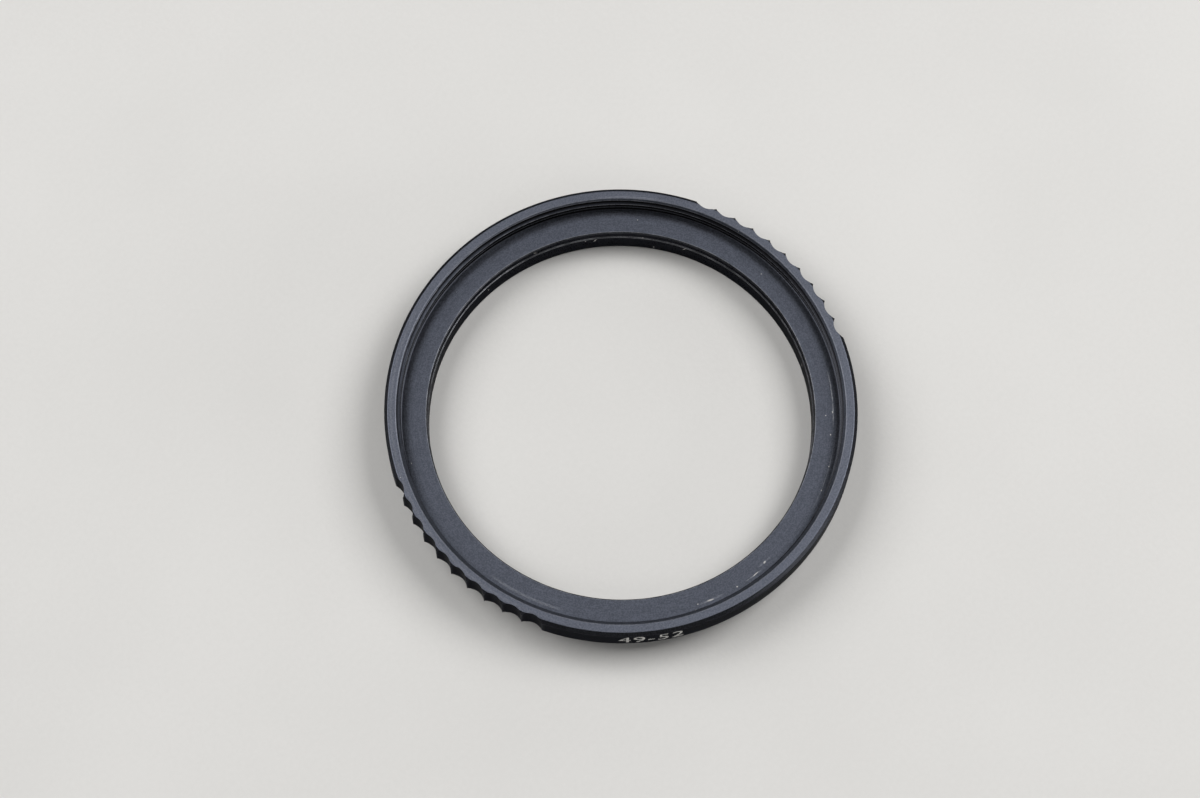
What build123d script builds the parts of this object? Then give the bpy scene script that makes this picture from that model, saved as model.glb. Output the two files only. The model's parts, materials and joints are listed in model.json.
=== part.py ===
import os

from build123d import *

# Step-up filter ring, turned from one aluminium blank and black anodised.
# A 49 mm male thread below screws into a lens, a 52 mm female thread above takes a filter.
# Millimetres. The origin is on the axis at the end of the male spigot, +Z points to the filter
# side, and +X runs through the middle of one of the two grips.

# Threads, left smooth here: the male at its crests, the female at its crests
thread_pitch = 0.75
male_thread_diameter = 49.0
female_thread_diameter = 52.0
male_thread_depth = 0.6134 * thread_pitch
female_thread_depth = 0.5413 * thread_pitch

# Heights along the axis
spigot_height = 2.5
rim_height = 3.7
recess_depth = 2.1

# Rim, its wall measured from the roots of the female thread
rim_wall = 1.5
rim_edge_chamfer = 0.4
lead_in_clearance = 0.15

# Undercuts where each thread runs out: a groove with one sloping side, which meets the seat
# beyond it just clear of the thread's crests
undercut_width = 0.5
undercut_slope_width = 0.3
undercut_clearance = 0.1
seat_clearance = 0.05

# Bore, inside the spigot's wall, which is measured from the crests of the male thread.
# It is a little wider in its upper part, with a fine sloping step between the two.
spigot_wall = 2.0
upper_bore_depth = 1.15
bore_step = 0.1
upper_bore_chamfer = 0.12

# Spigot end
spigot_chamfer = 0.4
spigot_bore_chamfer = 0.2

# Grips: two opposite runs of vertical scallops in the outer wall
scallops_per_grip = 10
scallop_spacing = 5.2
scallop_radius = 1.7
scallop_depth = 0.62

# Radii and levels that follow from the sizes above
rim_radius = female_thread_diameter / 2 + rim_wall
male_radius = male_thread_diameter / 2
bore_radius = male_radius - spigot_wall
upper_bore_radius = bore_radius + bore_step
male_undercut_radius = male_radius - male_thread_depth - undercut_clearance
female_radius = female_thread_diameter / 2 - female_thread_depth
female_undercut_radius = female_thread_diameter / 2 + undercut_clearance
lead_in_radius = female_thread_diameter / 2 + lead_in_clearance
lead_in_depth = lead_in_radius - female_radius
top_level = spigot_height + rim_height
ledge_level = top_level - recess_depth
bore_step_level = ledge_level - upper_bore_depth
grip_half_angle = scallop_spacing * (scallops_per_grip - 1) / 2

with BuildPart() as step_up_ring:
    # Half section, turned about the axis: up the outside, down the recess and the bore
    with BuildSketch(Plane.XZ):
        with BuildLine():
            Polyline(
                (bore_radius + spigot_bore_chamfer, 0),
                (male_radius - spigot_chamfer, 0),
                (male_radius, spigot_chamfer),
                (male_radius, spigot_height - undercut_width),
                (male_undercut_radius, spigot_height - undercut_width),
                (male_undercut_radius, spigot_height - undercut_slope_width),
                (male_radius + seat_clearance, spigot_height),
                (rim_radius - rim_edge_chamfer, spigot_height),
                (rim_radius, spigot_height + rim_edge_chamfer),
                (rim_radius, top_level - rim_edge_chamfer),
                (rim_radius - rim_edge_chamfer, top_level),
                (lead_in_radius, top_level),
                (female_radius, top_level - lead_in_depth),
                (female_radius, ledge_level + undercut_width),
                (female_undercut_radius, ledge_level + undercut_width),
                (female_undercut_radius, ledge_level + undercut_slope_width),
                (female_radius - seat_clearance, ledge_level),
                (upper_bore_radius + upper_bore_chamfer, ledge_level),
                (upper_bore_radius, ledge_level - upper_bore_chamfer),
                (upper_bore_radius, bore_step_level),
                (bore_radius, bore_step_level - bore_step),
                (bore_radius, spigot_bore_chamfer),
                close=True,
            )
        make_face()
    revolve(axis=Axis.Z)

    # Grip scallops, milled through the full height of the rim
    with BuildSketch(Plane.XY.offset(spigot_height)):
        for grip_centre in (0, 180):
            with PolarLocations(
                rim_radius - scallop_depth + scallop_radius,
                scallops_per_grip,
                start_angle=grip_centre - grip_half_angle,
                angular_range=2 * grip_half_angle,
                endpoint=True,
            ):
                Circle(scallop_radius)
    extrude(amount=rim_height, mode=Mode.SUBTRACT)

step_up_ring.part.label = "step_up_ring"

os.makedirs("parts", exist_ok=True)
export_step(step_up_ring.part, "parts/step_up_ring.step")
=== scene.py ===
import json
import math

import bmesh
import bpy
from mathutils import Matrix, Vector


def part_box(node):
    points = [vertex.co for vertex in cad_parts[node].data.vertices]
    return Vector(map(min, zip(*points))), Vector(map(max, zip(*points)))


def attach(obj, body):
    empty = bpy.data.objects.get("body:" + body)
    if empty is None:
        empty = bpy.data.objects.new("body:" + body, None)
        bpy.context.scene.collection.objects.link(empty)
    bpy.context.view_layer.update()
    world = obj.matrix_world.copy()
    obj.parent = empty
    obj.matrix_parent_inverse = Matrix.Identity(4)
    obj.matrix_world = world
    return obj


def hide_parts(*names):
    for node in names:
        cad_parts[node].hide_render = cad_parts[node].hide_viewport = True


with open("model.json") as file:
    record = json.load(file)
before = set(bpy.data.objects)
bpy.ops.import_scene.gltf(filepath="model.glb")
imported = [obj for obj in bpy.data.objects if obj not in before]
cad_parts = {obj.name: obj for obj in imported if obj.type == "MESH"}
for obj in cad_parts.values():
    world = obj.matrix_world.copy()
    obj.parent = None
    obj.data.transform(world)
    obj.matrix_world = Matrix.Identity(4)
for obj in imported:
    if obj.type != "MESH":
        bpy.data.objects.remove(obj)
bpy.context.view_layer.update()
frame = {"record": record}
mm = 0.001
mounts = {mount["name"]: mount for mount in frame["record"]["mounts"]}
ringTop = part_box("step_up_ring")[1]
print("frame loaded")

# Ring: sizes in millimetres, angles in degrees
ring = {
    "rimRadius": max(ringTop.x, ringTop.y) / mm,
    "topLevel": ringTop.z / mm,
    "ledgeLevel": mounts["filter_ledge"]["pos_m"][2] / mm,
    "shoulderLevel": mounts["lens_shoulder"]["pos_m"][2] / mm,
    "femaleCrest": mounts["filter_thread"]["dims"]["r_mm"],
    "maleCrest": mounts["lens_thread"]["dims"]["r_mm"],
    "rimChamfer": 0.4,
    "leadInRadius": 26.15,
    "boreRadius": 22.5,
    "upperBoreRadius": 22.6,
    "upperBoreDepth": 1.15,
    "upperBoreChamfer": 0.12,
    "spigotChamfer": 0.4,
    "spigotBoreChamfer": 0.2,
    "undercutWidth": 0.5,
    "undercutSlope": 0.3,
    "undercutClearance": 0.1,
    "seatClearance": 0.05,
    "outerBreak": 0.06,  # how far each corner is rounded
    "innerBreak": 0.07,
    "fineBreak": 0.04,
    "cornerSteps": 3,
    "supportShare": 0.3,  # most of a stretch that the support row beside a corner may take
    "columnStep": 1.0,
    "closeEnough": 0.01,  # lengths and angles as near as this are the same
}
thread = {
    "pitch": 0.75,
    "start": 0.095,  # share of a turn by which both helices are turned
    "femaleDepth": 0.406,
    "femaleBreaks": (0.25, 0.5625, 0.6875),  # ends of crest, first flank and root
    "maleDepth": 0.46,
    "maleBreaks": (0.125, 0.479, 0.646),
    "flankRows": (0.33, 0.67),
    "edgeShare": 0.05,  # width of a worn crest edge, as a share of the pitch
    "crestLimit": 0.01,  # a row no deeper than this share of the groove is on the crest
    "leadInLimit": 0.001,  # and one as near as this to the lead-in's slope is on it
    # crest and lip brightening below is weighted towards one side, where it is painted highlight over
    # wear
    "crestWear": 0.8,
    "lowCrestWear": 0.35,  # on the crests below the first groove
    "lipWear": 1.0,
    "wornSide": 60,  # the female thread's edges are brightest at this angle, as painted highlight over wear
    "grimeSide": 20,  # and its painted shade in the grooves is darkest at this one
    "dirt": -1.0,  # below zero the finish is darkened as painted shade, above it worn
    "dirtySlope": 0.8,  # share of the undercut's slope that is darkened as painted shade
    "maleWear": 0.7,
    # painted shade in the male thread's grooves and undercut
    "maleDirt": -0.5,
    "openDepth": 0.45,  # how far below its lead-in the female thread is open to view
    "cleanShare": 0.35,  # share of the groove's depth that stays free of painted shade there
}
grip = {
    "centres": (0, 180),
    "scallops": 10,
    "spacing": 5.2,
    "radius": 1.7,
    "depth": 0.62,
    "steps": 12,  # columns across one scallop
    "crestWear": 0.5,
}
# Wear of the plain corners, and painted shade where it is below zero
cornerWear = {
    "spigotEnd": 0.5,
    "boreFoot": 0.4,
    "rimFoot": 0.4,
    "rimTop": 0.05,
    "leadIn": 0.35,
    # painted shade in the ledge's corner at the foot of the recess wall
    "ledgeCorner": -0.3,
    "ledgeEdge": 0.6,
    "upperBore": 0.4,
    "boreStep": 0.9,
}
leadInFoot = ring["topLevel"] - (ring["leadInRadius"] - ring["femaleCrest"])
boreStepLevel = ring["ledgeLevel"] - ring["upperBoreDepth"]
scallopCentre = ring["rimRadius"] - grip["depth"] + grip["radius"]  # radius of the scallops' centres


def lerp(first, last, share):
    return tuple(a + (b - a) * share for a, b in zip(first, last))


def midway(first, last):
    # a plain corner halfway between two others
    return (*lerp(first[:2], last[:2], 0.5), 0, 0)


def softCorner(before, corner, after):
    # a small curve in place of the corner, with a support row on each side; rows are radius, level, and
    # wear or painted shade
    radius, level, cut, wear = corner
    point = Vector((radius, level))
    toBefore = Vector(before[:2]) - point
    toAfter = Vector(after[:2]) - point
    first = point + toBefore.normalized() * cut
    last = point + toAfter.normalized() * cut
    rows = [(*lerp(first, before, min(ring["supportShare"], cut / toBefore.length)), 0.0)]
    for step in range(ring["cornerSteps"] + 1):
        share = step / ring["cornerSteps"]
        rows.append((*lerp(lerp(first, point, share), lerp(point, last, share), share), wear))
    rows.append((*lerp(last, after, min(ring["supportShare"], cut / toAfter.length)), 0.0))
    return rows


def softPath(corners):
    # corners are radius, level, cut, and wear or painted shade; the first and last only give directions
    rows = []
    for before, here, after in zip(corners, corners[1:], corners[2:]):
        if here[2]:
            rows += softCorner(before, here, after)
        else:
            rows.append((*here[:2], here[3]))
    return rows


def grooveDepth(share, breaks):
    # from none on the crest to one at the root, over one pitch
    crestEnd, rootStart, rootEnd = breaks
    if share < crestEnd:
        return 0.0
    if share < rootStart:
        return (share - crestEnd) / (rootStart - crestEnd)
    if share < rootEnd:
        return 1.0
    return (1.0 - share) / (1.0 - rootEnd)


def sideShare(angle, side):
    # full at the side's own angle, nothing across from it
    return (0.5 + 0.5 * math.cos(math.radians(angle - side))) ** 2


def threadWearAndShade(angle, level, depth, onEdge):
    # edges are worn bright, most on one side, where the brightening is painted highlight; the grooves,
    # and all that lies below the open first groove, are darkened as painted shade
    isWorn = onEdge and depth < thread["crestLimit"]
    if level < ring["shoulderLevel"]:
        return thread["maleWear"] if isWorn else thread["maleDirt"] * depth
    isOpen = level > leadInFoot - thread["openDepth"]
    if isWorn:
        wear = thread["crestWear"] if isOpen else thread["lowCrestWear"]
        return wear * sideShare(angle, thread["wornSide"])
    if depth == 0 or not isOpen:
        return thread["dirt"]
    sideShade = sideShare(angle, thread["grimeSide"])
    unshaded = thread["cleanShare"] * (1 - sideShade)
    return thread["dirt"] * min(1.0, (1 + sideShade) * max(0.0, depth - unshaded) / (1 - unshaded))


def threadRows(angle, low, high, breaks, radiusAt):
    # rows follow the helix, and those past either end lie on that end
    pitch = thread["pitch"]
    turn = angle / 360 + thread["start"]
    crestEnd, rootStart, rootEnd = breaks
    shares = [0.0, crestEnd - thread["edgeShare"], crestEnd, rootStart, rootEnd]
    shares += [crestEnd + (rootStart - crestEnd) * part for part in thread["flankRows"]]
    shares += [rootEnd + (1.0 - rootEnd) * part for part in thread["flankRows"]]
    shares.sort()
    rows = []
    for lap in range(math.floor(low / pitch) - 2, math.ceil(high / pitch) + 1):
        for share in shares:
            level = min(max(pitch * (lap + share + turn), low), high)
            depth = grooveDepth((level / pitch - turn) % 1.0, breaks)
            wear = threadWearAndShade(angle, level, depth, share == crestEnd)
            rows.append((radiusAt(level, depth), level, wear))
    return rows


def femaleRadius(level, depth):
    leadIn = max(0.0, level - leadInFoot)
    return ring["femaleCrest"] + max(leadIn, depth * thread["femaleDepth"])


def maleRadius(level, depth):
    chamfer = max(0.0, ring["spigotChamfer"] - level)
    return ring["maleCrest"] - max(chamfer, depth * thread["maleDepth"])


def brightenedLip(rows, angle):
    # the lead-in is clean; the lip where the groove breaks into it is worn, and brightest on one side as
    # painted highlight
    lines = []
    cone = ring["leadInRadius"] - ring["topLevel"]
    wasOn = False
    for radius, level, wear in rows:
        isOn = abs(radius - level - cone) < thread["leadInLimit"]
        if isOn:
            wear = 0.0 if wasOn else thread["lipWear"] * sideShare(angle, thread["wornSide"])
        lines.append((radius, level, wear))
        wasOn = isOn
    return lines


def scallopAngles(centre):
    half = grip["spacing"] * (grip["scallops"] - 1) / 2
    return [centre - half + grip["spacing"] * number for number in range(grip["scallops"])]


def scallopRadius(angle):
    # how far out the wall reaches at this angle, where a scallop cuts it
    reach = ring["rimRadius"]
    for centre in grip["centres"]:
        for turn in scallopAngles(centre):
            across = scallopCentre * math.sin(math.radians(angle - turn))
            along = scallopCentre * math.cos(math.radians(angle - turn))
            if along > 0 and abs(across) < grip["radius"]:
                reach = min(reach, along - math.sqrt(grip["radius"] ** 2 - across**2))
    return reach


def gripStops():
    # the angles where each grip starts and ends, and those of the crests in it
    sides = ring["rimRadius"] ** 2 + scallopCentre**2 - grip["radius"] ** 2
    edge = math.degrees(math.acos(sides / (2 * ring["rimRadius"] * scallopCentre)))
    stops = []
    for centre in grip["centres"]:
        turns = scallopAngles(centre)
        stops.append(turns[0] - edge)
        stops += [turn + grip["spacing"] / 2 for turn in turns[:-1]]
        stops.append(turns[-1] + edge)
    return stops


def columnAngles():
    # close columns across each scallop, wider ones round the plain stretches
    stops = gripStops()
    stops.append(stops[0] + 360)
    angles = []
    for start, end in zip(stops, stops[1:]):
        inGrip = end - start < 2 * grip["spacing"]
        count = grip["steps"] if inGrip else math.ceil((end - start) / ring["columnStep"])
        angles += [start + (end - start) * step / count for step in range(count)]
    return angles + [stops[-1]]


def spigotCorners():
    # the spigot's lower end, from the bore to the male thread
    bore, male, inner = ring["boreRadius"], ring["maleCrest"], ring["innerBreak"]
    boreSide = (bore, ring["spigotBoreChamfer"], inner, cornerWear["boreFoot"])
    boreEnd = (bore + ring["spigotBoreChamfer"], 0.0, inner, cornerWear["spigotEnd"])
    spigotEnd = (male - ring["spigotChamfer"], 0.0, inner, cornerWear["spigotEnd"])
    spigotSide = (male, ring["spigotChamfer"], 0, 0)
    return [boreSide, boreEnd, spigotEnd, spigotSide]


def spigotRows():
    # the thread's own rows take the place of the last one
    return softPath(spigotCorners()[1:])[:-1]


def rimRows():
    # from the male thread's undercut round the rim to the lead-in, where the thread's rows take over
    top, shoulder, male = ring["topLevel"], ring["shoulderLevel"], ring["maleCrest"]
    rim, chamfer, outer = ring["rimRadius"], ring["rimChamfer"], ring["outerBreak"]
    maleRoot = male - thread["maleDepth"] - ring["undercutClearance"]
    lowFlat = (rim - chamfer, shoulder, outer, cornerWear["rimFoot"])
    lowWall = (rim, shoulder + chamfer, outer, cornerWear["rimFoot"])
    highWall = (rim, top - chamfer, outer, cornerWear["rimTop"])
    highFlat = (rim - chamfer, top, outer, cornerWear["rimTop"])
    return softPath([
        (male, shoulder - ring["undercutWidth"], 0, 0),
        # painted shade in the male thread's undercut
        (maleRoot, shoulder - ring["undercutWidth"], 0, thread["maleDirt"]),
        (maleRoot, shoulder - ring["undercutSlope"], 0, thread["maleDirt"]),
        (male + ring["seatClearance"], shoulder, 0, 0),
        lowFlat,
        midway(lowFlat, lowWall),
        lowWall,
        highWall,
        midway(highWall, highFlat),
        highFlat,
        (ring["leadInRadius"], top, ring["innerBreak"], cornerWear["leadIn"]),
        (ring["femaleCrest"], leadInFoot, 0, 0),
    ])[:-1]


def boreRows():
    # from the female thread's undercut over the ledge and down the bore
    ledge, female, fine = ring["ledgeLevel"], ring["femaleCrest"], ring["fineBreak"]
    bore, upperBore, chamfer = ring["boreRadius"], ring["upperBoreRadius"], ring["upperBoreChamfer"]
    femaleRoot = female + thread["femaleDepth"] + ring["undercutClearance"]
    slopeTop = (femaleRoot, ledge + ring["undercutSlope"])
    return softPath([
        (female, ledge + ring["undercutWidth"], 0, 0),
        # painted shade in the female thread's undercut and on its slope
        (femaleRoot, ledge + ring["undercutWidth"], 0, thread["dirt"]),
        (*slopeTop, 0, thread["dirt"]),
        (*lerp(slopeTop, (female, ledge), thread["dirtySlope"]), 0, thread["dirt"]),
        (female - ring["seatClearance"], ledge, fine, cornerWear["ledgeCorner"]),
        (upperBore + chamfer, ledge, fine, cornerWear["ledgeEdge"]),
        (upperBore, ledge - chamfer, fine, cornerWear["upperBore"]),
        (upperBore, boreStepLevel, fine, cornerWear["boreStep"]),
        (bore, boreStepLevel - (upperBore - bore), fine, cornerWear["boreStep"]),
        *spigotCorners()[:-1],
    ])


def buildRing():
    spigot, outside, bore = spigotRows(), rimRows(), boreRows()
    angles = columnAngles()
    crests = gripStops()
    spigotTop = ring["shoulderLevel"] - ring["undercutWidth"]
    recessFoot = ring["ledgeLevel"] + ring["undercutWidth"]
    points, wear = [], []
    for angle in angles:
        reach = scallopRadius(angle)
        atCrest = any(abs(angle - stop) < ring["closeEnough"] for stop in crests)
        crest = grip["crestWear"] if atCrest else 0.0
        rows = list(spigot)
        rows += threadRows(angle, spigot[-1][1], spigotTop, thread["maleBreaks"], maleRadius)
        for radius, level, edge in outside:
            cut = radius >= reach - ring["closeEnough"]
            rows.append((min(radius, reach), level, max(edge * (radius <= reach), crest * cut)))
        female = threadRows(angle, recessFoot, outside[-1][1], thread["femaleBreaks"], femaleRadius)
        rows += reversed(brightenedLip(female, angle))
        rows += bore
        across, along = math.cos(math.radians(angle)) * mm, math.sin(math.radians(angle)) * mm
        points += [(radius * across, radius * along, level * mm) for radius, level, edge in rows]
        wear += [edge for radius, level, edge in rows]
    mesh = bpy.data.meshes.new("stepUpRing")
    mesh.from_pydata(points, [], wrapFaces(len(angles), len(rows)))
    mesh.attributes.new("edgeWear", "FLOAT", "POINT").data.foreach_set("value", wear)
    cleanMesh(mesh)
    piece = bpy.data.objects.new("stepUpRing", mesh)
    bpy.context.scene.collection.objects.link(piece)
    return piece


def wrapFaces(columns, count):
    # the last column lies on the first, and each column's last row joins its first
    faces = []
    for column in range(columns - 1):
        here, there = column * count, (column + 1) * count
        for row in range(count):
            after = (row + 1) % count
            faces.append((here + row, there + row, there + after, here + after))
    return faces


# Limits for cleaning a mesh, in metres and degrees
cleaning = {
    "samePoint": 2e-7,
    "noLength": 1e-8,
    "sharpAngle": 32,
}


def cleanMesh(mesh):
    # rows that met at a thread's ends become one, and every face looks outward
    shape = bmesh.new()
    shape.from_mesh(mesh)
    bmesh.ops.remove_doubles(shape, verts=shape.verts, dist=cleaning["samePoint"])
    bmesh.ops.dissolve_degenerate(shape, edges=shape.edges, dist=cleaning["noLength"])
    bmesh.ops.recalc_face_normals(shape, faces=shape.faces)
    loose = [edge for edge in shape.edges if len(edge.link_faces) != 2]
    print("edges with a missing face:", len(loose))
    shape.to_mesh(mesh)
    shape.free()
    mesh.shade_smooth()
    mesh.set_sharp_from_angle(angle=math.radians(cleaning["sharpAngle"]))


ringPiece = buildRing()
print("ring built:", len(ringPiece.data.polygons), "faces")

# Marking: plain numbers for the two thread sizes, printed on the wall
marking = {
    "words": "49-52",
    "height": 2.25,
    "numberShare": 0.73,  # height of the font's numbers, as a share of its size
    "angle": 232.5,
    "level": 4.35,
    "thickness": 0.015,
    "spacing": 1.08,
    "curveSteps": 5,
}


def buildMarking():
    words = bpy.data.curves.new("sizeMarking", "FONT")
    words.body = marking["words"]
    words.align_x = "CENTER"
    words.align_y = "CENTER"
    words.space_character = marking["spacing"]
    words.size = marking["height"] / marking["numberShare"]
    words.extrude = marking["thickness"]
    words.resolution_u = marking["curveSteps"]
    flat = bpy.data.objects.new("sizeMarkingFlat", words)
    mesh = bpy.data.meshes.new_from_object(flat)
    bpy.data.objects.remove(flat)
    for vertex in mesh.vertices:
        turn = math.radians(marking["angle"]) + vertex.co.x / ring["rimRadius"]
        radius = (ring["rimRadius"] + vertex.co.z) * mm
        level = (marking["level"] + vertex.co.y) * mm
        vertex.co = (radius * math.cos(turn), radius * math.sin(turn), level)
    cleanMesh(mesh)
    piece = bpy.data.objects.new("sizeMarking", mesh)
    bpy.context.scene.collection.objects.link(piece)
    return piece


markingPiece = buildMarking()
print("marking built")


def addNode(tree, kind, settings=None, inputs=None):
    node = tree.nodes.new(kind)
    for name, value in (settings or {}).items():
        setattr(node, name, value)
    for name, value in (inputs or {}).items():
        if isinstance(value, bpy.types.NodeSocket):
            tree.links.new(value, node.inputs[name])
        else:
            node.inputs[name].default_value = value
    return node


def newMaterial(name):
    material = bpy.data.materials.new(name)
    material.use_nodes = True
    return material, material.node_tree, material.node_tree.nodes["Principled BSDF"]


def mathNode(tree, operation, first, second=0.0):
    return addNode(tree, "ShaderNodeMath", {"operation": operation}, {0: first, 1: second}).outputs[0]


def times(tree, first, second):
    return mathNode(tree, "MULTIPLY", first, second)


def plus(tree, first, second):
    return mathNode(tree, "ADD", first, second)


def distance(tree, value, middle):
    return mathNode(tree, "ABSOLUTE", mathNode(tree, "SUBTRACT", value, middle))


def weighted(tree, first, second, share):
    # the second has this share, the first the rest
    return plus(tree, times(tree, first, 1 - share), times(tree, second, share))


def strongest(tree, marks):
    total = marks[0]
    for mark in marks[1:]:
        total = mathNode(tree, "MAXIMUM", total, mark)
    return total


def ramp(tree, value, low, high, bottom=0.0, top=1.0):
    # runs smoothly from bottom to top as the value goes from low to high
    node = addNode(tree, "ShaderNodeMapRange", {"interpolation_type": "SMOOTHSTEP"}, {
        "Value": value, "From Min": low, "From Max": high, "To Min": bottom, "To Max": top})
    return node.outputs["Result"]


def noise(tree, vector, size, detail, roughness):
    node = addNode(tree, "ShaderNodeTexNoise", None, {
        "Vector": vector, "Scale": 1 / size, "Detail": detail, "Roughness": roughness})
    return node.outputs["Fac"]


def blend(tree, share, first, second):
    # colours come as sockets or as plain values; 6, 7 and 2 are the node's colour sockets
    node = addNode(tree, "ShaderNodeMix", {"data_type": "RGBA"}, {0: share, 6: first, 7: second})
    return node.outputs[2]


def joined(tree, x, y, z):
    return addNode(tree, "ShaderNodeCombineXYZ", None, {0: x, 1: y, 2: z}).outputs[0]


def upward(tree):
    # how far a face looks up: one on flats, nothing on walls, minus one underneath
    facing = addNode(tree, "ShaderNodeNewGeometry").outputs["Normal"]
    return addNode(tree, "ShaderNodeSeparateXYZ", None, {0: facing}).outputs[2]


def ringPoint(tree):
    # a point of the ring in millimetres
    place = addNode(tree, "ShaderNodeTexCoord").outputs["Object"]
    scaled = addNode(tree, "ShaderNodeVectorMath", {"operation": "SCALE"}, {0: place, "Scale": 1 / mm})
    return scaled.outputs[0]


def ringPlace(tree, point):
    # the point's radius, angle and level
    x, y, level = addNode(tree, "ShaderNodeSeparateXYZ", None, {0: point}).outputs
    squares = plus(tree, mathNode(tree, "POWER", x, 2), mathNode(tree, "POWER", y, 2))
    radius = mathNode(tree, "SQRT", squares)
    turn = mathNode(tree, "DEGREES", mathNode(tree, "ARCTAN2", y, x))
    return radius, mathNode(tree, "FLOORED_MODULO", turn, 360), level


# Finish of the ring. Noises are size, detail and roughness. Ramps are where they start and end,
# and then what they give there.
anodised = {
    # painted shade: walls and slopes get this darker copy of the finish
    "wallColour": (0.024, 0.025, 0.029, 1),
    "wallGrain": (0.048, 0.050, 0.058, 1),
    "colour": (0.072, 0.079, 0.099, 1),
    "grainColour": (0.115, 0.125, 0.157, 1),
    "rimColour": (0.150, 0.162, 0.200, 1),
    "bareColour": (0.42, 0.43, 0.46, 1),
    # colour of the painted shade in grooves, undercuts and the ledge's inner corner
    "dirtColour": (0.006, 0.006, 0.007, 1),
    "rubbedColour": (0.34, 0.35, 0.38, 1),
    "dustColour": (0.80, 0.78, 0.74, 1),
    "grazing": (0.35, 0.35, 0.35, 1),  # how much of a metal's bright edge reflection is left
    "roughness": 0.5,
    "rimRoughness": 0.47,
    "wallSmoothness": -0.1,
    "fineRoughness": (0.3, 0.7, -0.07, 0.07),
    "mottleRoughness": (0.3, 0.7, -0.015, 0.015),
    "dustRoughness": 0.3,
    "grain": (0.16, 2.0, 0.6),
    "grainRamp": (0.36, 0.68),
    "grainHeight": 0.0035,
    "turning": (0.11, 2.0, 0.6),  # the tool's marks
    "turningRun": 0.02,  # a low step for each degree makes them long round the ring
    "turningShare": 0.28,  # of the fine texture, with the grain as the rest
    "turningHeight": 0.0008,
    "mottle": (1.3, 3.0, 0.5),
    "sparkle": (0.20, 2.0, 0.7),
    "sparkleRamp": (0.36, 0.68, 0.25, 1.0),
    "rimBelow": (0.06, 0.02),  # the rim's flat fades out this far below the top
    "flatRamp": (0.86, 0.985),  # how level a face is, from wall to flat, for the painted shade on walls
    "cornerRadii": (24.15, 25.4),  # painted shade: the ledge darkens towards its outer corner
    "cornerAbove": (0.6, 0.4),  # up to this far above it
    # share of the paler colour left in that painted shade
    "cornerPaleness": 0.45,
    "grimeSide": 44,  # that painted shade is darkest at this angle, and gone across from it
    "grimeRamp": (-16.0, -2.0),
    # the lead-in's slope takes part of the flats' paler colour as painted light
    "leadInMargin": 0.05,
    "leadInBelow": (0.6, 0.45),
    "leadInPaleness": 0.7,
    "wearPower": 1.5,
    "wearShare": 0.8,
    "patchGrain": 0.4,  # share of the grain in the patches of wear, with the mottle as the rest
    "patchRamp": (0.32, 0.70, 0.2, 1.0),
    "rubShare": 0.85,
    "rubCore": 1 / 3,  # shares of a rub mark's half width and half length that are at full strength
    "rubRun": 0.6,
    "rubBelow": (0.1, 0.05),  # rub marks end this far below the ledge
    "streaks": (1.0, 3.0, 0.65),
    "streakSteps": (9, 0.9),  # across and along the streaks
    "streakRamp": (0.40, 0.62, 0.2, 1.0),
    "speckDepth": 0.2,
    "speckEdge": (1.2, 0.5),
    "dustCell": 1.5,
    "dustSize": 0.055,
    "dustPick": (0.45, 1.0),  # cells under the first value have no fleck
    "dustStrength": (0.0, 1.0, 0.25, 0.8),
    "dustUpward": (0.5, 0.8),
}
# Rub marks on the flats: first and last angle, radius, width, strength
rubMarks = [
    (311, 328, 24.78, 0.20, 1.0),
    (187, 211, 24.78, 0.42, 0.40),
    (246, 254, 24.85, 0.30, 0.40),
    (260, 266, 24.92, 0.18, 0.55),
    (265, 270, 24.48, 0.22, 0.40),
    (286, 306, 25.02, 0.12, 0.35),
    (33, 52, 26.35, 0.30, 0.35),
    (95, 215, 26.70, 0.45, 0.22),
]
# Specks and fibres on the ledge: angle, radius, length round the ring, width, tilt, strength
ledgeSpecks = [
    (309, 24.56, 0.20, 0.14, 0, 0.65),
    (300, 25.00, 0.16, 0.12, 0, 0.58),
    (293, 25.05, 0.18, 0.12, 20, 0.5),
    (267.5, 24.50, 0.40, 0.22, 15, 0.58),
    (263.5, 24.90, 0.90, 0.12, 5, 0.58),
    (261, 25.40, 0.22, 0.14, 0, 0.5),
    (257.5, 24.90, 0.20, 0.16, 0, 0.58),
    (249.5, 24.85, 0.85, 0.20, -6, 0.5),
    (246, 24.75, 0.20, 0.14, 0, 0.43),
    (314.5, 23.90, 0.14, 0.14, 0, 0.58),
    (315.5, 24.70, 0.30, 0.12, 10, 0.65),
    (1.5, 24.10, 0.14, 0.14, 0, 0.43),
    (40.5, 24.35, 0.16, 0.12, 30, 0.43),
    (150, 25.10, 0.24, 0.10, 8, 0.29),
]
# Those on the bore's wall: angle, level, length round the ring, height, tilt, strength
boreSpecks = [
    (38.5, 3.0, 0.14, 0.20, 0, 0.9),
    (35, 0.8, 0.20, 0.30, 0, 0.8),
    (25.5, 2.5, 0.10, 0.90, 25, 0.8),
    (333, 1.6, 0.10, 0.80, -20, 0.7),
    (72, 3.5, 0.50, 0.12, 35, 0.7),
    (56, 2.5, 0.16, 0.22, 0, 0.8),
    (53, 2.4, 0.12, 0.80, 30, 0.8),
    (89.5, 1.8, 0.16, 0.20, 0, 1.0),
]


def turningMarks(tree, radius, angle, level):
    path = joined(tree, radius, times(tree, angle, anodised["turningRun"]), level)
    return noise(tree, path, *anodised["turning"])


def rubStreaks(tree, radius, angle):
    across, along = anodised["streakSteps"]
    path = joined(tree, times(tree, radius, across), times(tree, angle, along), 0.0)
    return ramp(tree, noise(tree, path, *anodised["streaks"]), *anodised["streakRamp"])


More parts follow.
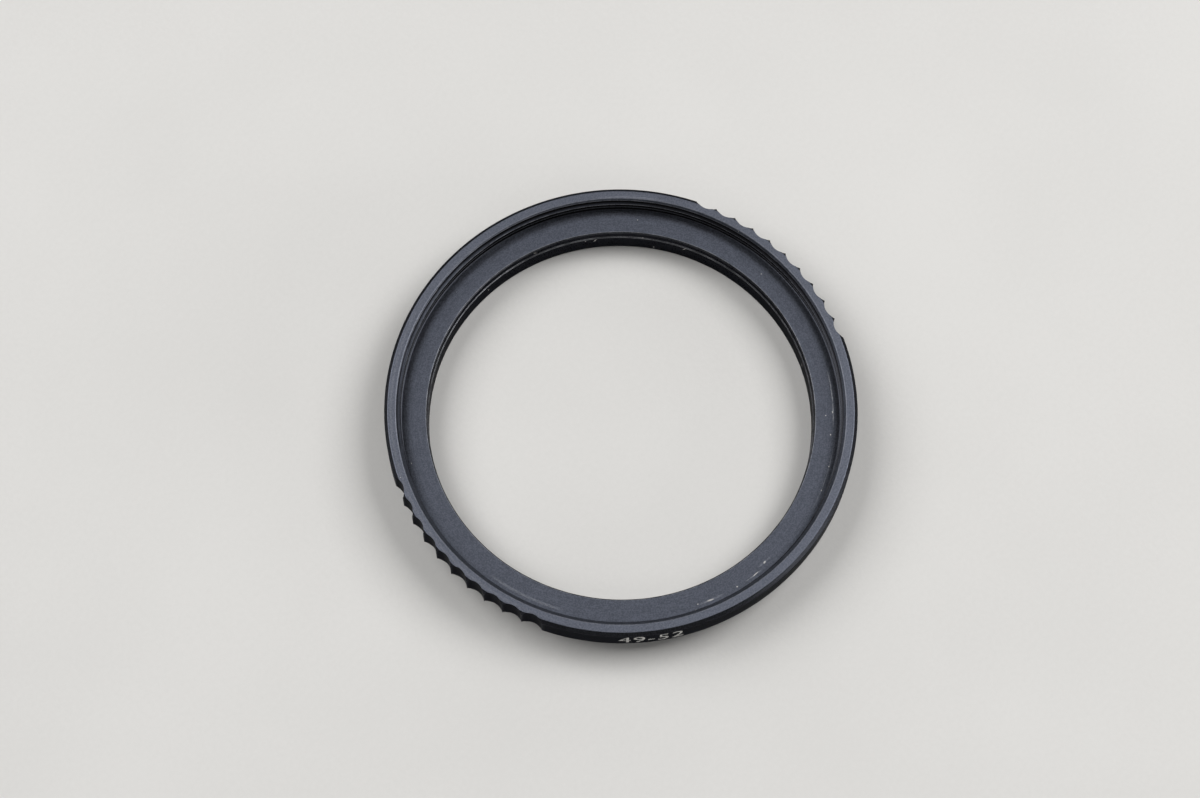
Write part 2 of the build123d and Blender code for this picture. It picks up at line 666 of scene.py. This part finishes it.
def rubbed(tree, radius, angle, level):
    # soft bands along arcs of the upper flats, broken up by the streaks
    marks = []
    for first, last, middle, width, strength in rubMarks:
        halfWidth, halfRun = width / 2, (last - first) / 2
        off = distance(tree, radius, middle)
        around = distance(tree, angle, (first + last) / 2)
        band = ramp(tree, off, halfWidth, halfWidth * anodised["rubCore"])
        run = ramp(tree, around, halfRun, halfRun * anodised["rubRun"], 0, strength)
        marks.append(times(tree, band, run))
    low, high = (ring["ledgeLevel"] - below for below in anodised["rubBelow"])
    streaky = times(tree, strongest(tree, marks), rubStreaks(tree, radius, angle))
    return times(tree, streaky, ramp(tree, level, low, high))


def speck(tree, point, angle, radius, level, spin, sizes, strength):
    # a small soft ball that shows where it meets the surface
    turn = math.radians(angle)
    spot = addNode(tree, "ShaderNodeMapping", {"vector_type": "TEXTURE"}, {
        "Vector": point, "Rotation": spin, "Scale": [size / 2 for size in sizes],
        "Location": (radius * math.cos(turn), radius * math.sin(turn), level)}).outputs[0]
    reach = addNode(tree, "ShaderNodeVectorMath", {"operation": "LENGTH"}, {0: spot}).outputs["Value"]
    return ramp(tree, reach, *anodised["speckEdge"], 0, strength)


def speckled(tree, point):
    marks = []
    depth = anodised["speckDepth"]
    for angle, radius, along, across, tilt, strength in ledgeSpecks:
        spin = (0, 0, math.radians(angle + tilt))
        sizes = (across, along, depth)
        marks.append(speck(tree, point, angle, radius, ring["ledgeLevel"], spin, sizes, strength))
    for angle, level, along, height, tilt, strength in boreSpecks:
        radius = ring["upperBoreRadius"] if level > boreStepLevel else ring["boreRadius"]
        spin = (math.radians(tilt), 0, math.radians(angle))
        sizes = (depth, along, height)
        marks.append(speck(tree, point, angle, radius, level, spin, sizes, strength))
    return strongest(tree, marks)


def dusted(tree, point):
    # sparse flecks on what faces up
    cell = anodised["dustCell"]
    cells = addNode(tree, "ShaderNodeTexVoronoi", None, {"Vector": point, "Scale": 1 / cell})
    pick = addNode(tree, "ShaderNodeSeparateColor", None, {0: cells.outputs["Color"]}).outputs
    reach = times(tree, ramp(tree, pick[0], *anodised["dustPick"]), anodised["dustSize"] / cell)
    inside = mathNode(tree, "LESS_THAN", cells.outputs["Distance"], reach)
    fleck = times(tree, inside, ramp(tree, pick[1], *anodised["dustStrength"]))
    return times(tree, fleck, ramp(tree, upward(tree), *anodised["dustUpward"]))


def paintedCornerShade(tree, point, radius, level):
    # painted shade on the outer corner of the ledge, darkest on one side
    low, high = (ring["ledgeLevel"] + above for above in anodised["cornerAbove"])
    corner = times(tree, ramp(tree, radius, *anodised["cornerRadii"]), ramp(tree, level, low, high))
    side = math.radians(anodised["grimeSide"])
    beyond = addNode(tree, "ShaderNodeVectorMath", {"operation": "DOT_PRODUCT"}, {
        0: point, 1: (math.cos(side), math.sin(side), 0)}).outputs["Value"]
    return times(tree, corner, ramp(tree, beyond, *anodised["grimeRamp"]))


def litShare(tree, point, radius, level):
    # painted light and shade: flats and the lead-in get the paler colour, walls and slopes the darker
    # copy
    flat = ramp(tree, mathNode(tree, "ABSOLUTE", upward(tree)), *anodised["flatRamp"])
    corner = ramp(tree, paintedCornerShade(tree, point, radius, level), 0, 1, 1.0, anodised["cornerPaleness"])
    edge = ring["leadInRadius"]
    low, high = (ring["topLevel"] - below for below in anodised["leadInBelow"])
    inside = ramp(tree, radius, edge + anodised["leadInMargin"], edge)
    leadIn = times(tree, inside, ramp(tree, level, low, high, 0, anodised["leadInPaleness"]))
    return strongest(tree, [times(tree, flat, corner), leadIn])


def wornAndShaded(tree, mottle, grain):
    # the mesh carries wear, with painted highlight on one side of the thread, above zero, and painted
    # shade below it
    edge = addNode(tree, "ShaderNodeAttribute", {"attribute_name": "edgeWear"}).outputs["Fac"]
    patches = ramp(tree, weighted(tree, mottle, grain, anodised["patchGrain"]), *anodised["patchRamp"])
    worn = mathNode(tree, "POWER", mathNode(tree, "MAXIMUM", edge, 0.0), anodised["wearPower"])
    dirt = mathNode(tree, "MAXIMUM", times(tree, edge, -1.0), 0.0)
    return times(tree, worn, patches), dirt


def anodisedFinish():
    material, tree, shader = newMaterial("blackAnodised")
    point = ringPoint(tree)
    radius, angle, level = ringPlace(tree, point)
    grain = noise(tree, point, *anodised["grain"])
    mottle = noise(tree, point, *anodised["mottle"])
    sparkle = noise(tree, point, *anodised["sparkle"])
    turning = turningMarks(tree, radius, angle, level)
    fine = weighted(tree, grain, turning, anodised["turningShare"])
    rimLow, rimHigh = (ring["topLevel"] - below for below in anodised["rimBelow"])
    onRim = ramp(tree, level, rimLow, rimHigh)
    litPart = litShare(tree, point, radius, level)
    wear, dirt = wornAndShaded(tree, mottle, grain)
    rubs = rubbed(tree, radius, angle, level)
    dust = strongest(tree, [speckled(tree, point), dusted(tree, point)])

    # colour: flats with a paler rim, walls in a darker copy as painted shade, then rubs, wear, painted
    # shade and dust over them
    grainShare = ramp(tree, fine, *anodised["grainRamp"])
    rimShare = times(tree, onRim, ramp(tree, sparkle, *anodised["sparkleRamp"]))
    flats = blend(tree, grainShare, anodised["colour"], anodised["grainColour"])
    flats = blend(tree, rimShare, flats, anodised["rimColour"])
    # the darker copy for walls, as painted shade
    shadedWalls = blend(tree, grainShare, anodised["wallColour"], anodised["wallGrain"])
    colour = blend(tree, litPart, shadedWalls, flats)
    colour = blend(tree, times(tree, rubs, anodised["rubShare"]), colour, anodised["rubbedColour"])
    colour = blend(tree, times(tree, wear, anodised["wearShare"]), colour, anodised["bareColour"])
    # painted shade over grooves, undercuts and the ledge's corner
    colour = blend(tree, dirt, colour, anodised["dirtColour"])
    colour = blend(tree, dust, colour, anodised["dustColour"])

    # roughness: a smoother rim and walls, broken up by the texture, and matt dust
    rough = ramp(tree, onRim, 0, 1, anodised["roughness"], anodised["rimRoughness"])
    rough = plus(tree, rough, ramp(tree, litPart, 0, 1, anodised["wallSmoothness"], 0.0))
    rough = plus(tree, rough, ramp(tree, fine, *anodised["fineRoughness"]))
    rough = plus(tree, rough, ramp(tree, mottle, *anodised["mottleRoughness"]))
    rough = plus(tree, rough, times(tree, dust, anodised["dustRoughness"]))

    grainHeight = times(tree, grain, anodised["grainHeight"])
    height = plus(tree, grainHeight, times(tree, turning, anodised["turningHeight"]))
    bump = addNode(tree, "ShaderNodeBump", None, {"Height": height, "Strength": 1.0, "Distance": mm})
    tree.links.new(colour, shader.inputs["Base Color"])
    tree.links.new(rough, shader.inputs["Roughness"])
    tree.links.new(bump.outputs["Normal"], shader.inputs["Normal"])
    tree.links.new(mathNode(tree, "SUBTRACT", 1.0, dust), shader.inputs["Metallic"])
    shader.inputs["Specular Tint"].default_value = anodised["grazing"]
    return material


# Finish of the marking
paint = {
    "colour": (0.62, 0.61, 0.58, 1),
    "wornColour": (0.26, 0.26, 0.26, 1),
    "roughness": 0.6,
    "worn": (0.35, 4.0, 0.65),
    "wornRamp": (0.40, 0.62),
    "wornHeight": 0.004,
}


def paintFinish():
    material, tree, shader = newMaterial("whitePaint")
    worn = ramp(tree, noise(tree, ringPoint(tree), *paint["worn"]), *paint["wornRamp"])
    bump = addNode(tree, "ShaderNodeBump", None, {
        "Height": worn, "Strength": 1.0, "Distance": paint["wornHeight"] * mm})
    tree.links.new(blend(tree, worn, paint["colour"], paint["wornColour"]), shader.inputs["Base Color"])
    tree.links.new(bump.outputs["Normal"], shader.inputs["Normal"])
    shader.inputs["Roughness"].default_value = paint["roughness"]
    return material


ringPiece.data.materials.append(anodisedFinish())
markingPiece.data.materials.append(paintFinish())
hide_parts("step_up_ring")
for piece in (ringPiece, markingPiece):
    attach(piece, "root")
print("finishes done")

# Floor and world: lengths in metres
stage = {
    "floorHalf": 3.0,
    "floorColours": ((0.67, 0.66, 0.64, 1), (0.70, 0.69, 0.67, 1)),
    "floorGrain": (0.0006, 3.0, 0.6),
    "floorMottle": (0.03, 3.0, 0.5),
    "grainShare": 0.4,
    "colourRamp": (0.3, 0.7),
    "floorRoughness": 0.75,
    "bumpStrength": 0.3,
    "bumpHeight": 0.00005,
    "worldLevel": 0.05,
}
# Lamps: metres to the camera's right, away from it and up, then width, depth and level
lamps = {
    "rightKey": (0.54, 0.24, 0.72, 0.50, 0.60, 5.7),
    "leftKey": (-0.56, 0.20, 0.70, 0.65, 0.70, 3.8),
    "rightFill": (0.74, -0.28, 0.18, 0.50, 0.20, 5.0),
    "leftFill": (-0.80, 0.10, 0.20, 0.40, 0.30, 0.6),
    "farFill": (0.10, 0.90, 0.32, 1.00, 0.36, 0.9),
    "nearFill": (0.0, -0.75, 0.30, 1.00, 0.30, 0.22),
    "nearKey": (0.0, -0.50, 0.58, 0.50, 0.30, 0.8),
}
# Camera: millimetres and degrees
camera = {
    "azimuth": -46.0,
    "elevation": 70.7,
    "distance": 348.2,
    "aside": 2.47,  # ring's axis from the point the camera looks at, to its right
    "beyond": -0.82,  # and away from it
    "roll": 1.42,
    "lens": 90,
    "sensor": 36,
}


def viewAxes():
    turn = math.radians(camera["azimuth"])
    right = Vector((math.cos(turn), math.sin(turn), 0))
    away = Vector((-math.sin(turn), math.cos(turn), 0))
    return right, away


def floorFinish():
    material, tree, shader = newMaterial("paleFloor")
    place = addNode(tree, "ShaderNodeTexCoord").outputs["Object"]
    grain = noise(tree, place, *stage["floorGrain"])
    mottle = noise(tree, place, *stage["floorMottle"])
    share = weighted(tree, mottle, grain, stage["grainShare"])
    colour = blend(tree, ramp(tree, share, *stage["colourRamp"]), *stage["floorColours"])
    bump = addNode(tree, "ShaderNodeBump", None, {
        "Height": grain, "Strength": stage["bumpStrength"], "Distance": stage["bumpHeight"]})
    tree.links.new(colour, shader.inputs["Base Color"])
    tree.links.new(bump.outputs["Normal"], shader.inputs["Normal"])
    shader.inputs["Roughness"].default_value = stage["floorRoughness"]
    return material


def buildFloor():
    half = stage["floorHalf"]
    corners = [(-half, -half, 0), (half, -half, 0), (half, half, 0), (-half, half, 0)]
    mesh = bpy.data.meshes.new("floor")
    mesh.from_pydata(corners, [], [(0, 1, 2, 3)])
    mesh.materials.append(floorFinish())
    floor = bpy.data.objects.new("floor", mesh)
    bpy.context.scene.collection.objects.link(floor)


def addLamp(name, aside, beyond, height, width, depth, level):
    right, away = viewAxes()
    data = bpy.data.lights.new(name, "AREA")
    data.shape = "RECTANGLE"
    data.size = width
    data.size_y = depth
    data.energy = level * math.pi * width * depth
    lamp = bpy.data.objects.new(name, data)
    lamp.location = right * aside + away * beyond + Vector((0, 0, height))
    lamp.visible_camera = False
    lamp.rotation_mode = "QUATERNION"
    lamp.rotation_quaternion = (-lamp.location).to_track_quat("-Z", "Y")
    bpy.context.scene.collection.objects.link(lamp)


def buildCamera():
    right, away = viewAxes()
    rise = math.radians(camera["elevation"])
    roll = math.radians(camera["roll"])
    back = -away * math.cos(rise) + Vector((0, 0, math.sin(rise)))
    up = away * math.sin(rise) + Vector((0, 0, math.cos(rise)))
    imageRight = right * math.cos(roll) + up * math.sin(roll)
    imageUp = up * math.cos(roll) - right * math.sin(roll)
    target = Vector((0, 0, ring["topLevel"])) - right * camera["aside"] - away * camera["beyond"]
    data = bpy.data.cameras.new("photoCamera")
    data.lens = camera["lens"]
    data.sensor_width = camera["sensor"]
    view = bpy.data.objects.new("photoCamera", data)
    spin = Matrix((imageRight, imageUp, back)).transposed().to_4x4()
    view.matrix_world = Matrix.Translation((target + back * camera["distance"]) * mm) @ spin
    bpy.context.scene.collection.objects.link(view)
    bpy.context.scene.camera = view


def buildWorld():
    world = bpy.data.worlds.new("studio")
    world.use_nodes = True
    background = world.node_tree.nodes["Background"]
    background.inputs["Color"].default_value = (1, 1, 1, 1)
    background.inputs["Strength"].default_value = stage["worldLevel"]
    bpy.context.scene.world = world
    bpy.context.scene.view_settings.view_transform = "Standard"


buildFloor()
for lampName, lampPlace in lamps.items():
    addLamp(lampName, *lampPlace)
buildCamera()
buildWorld()
print("stage ready")
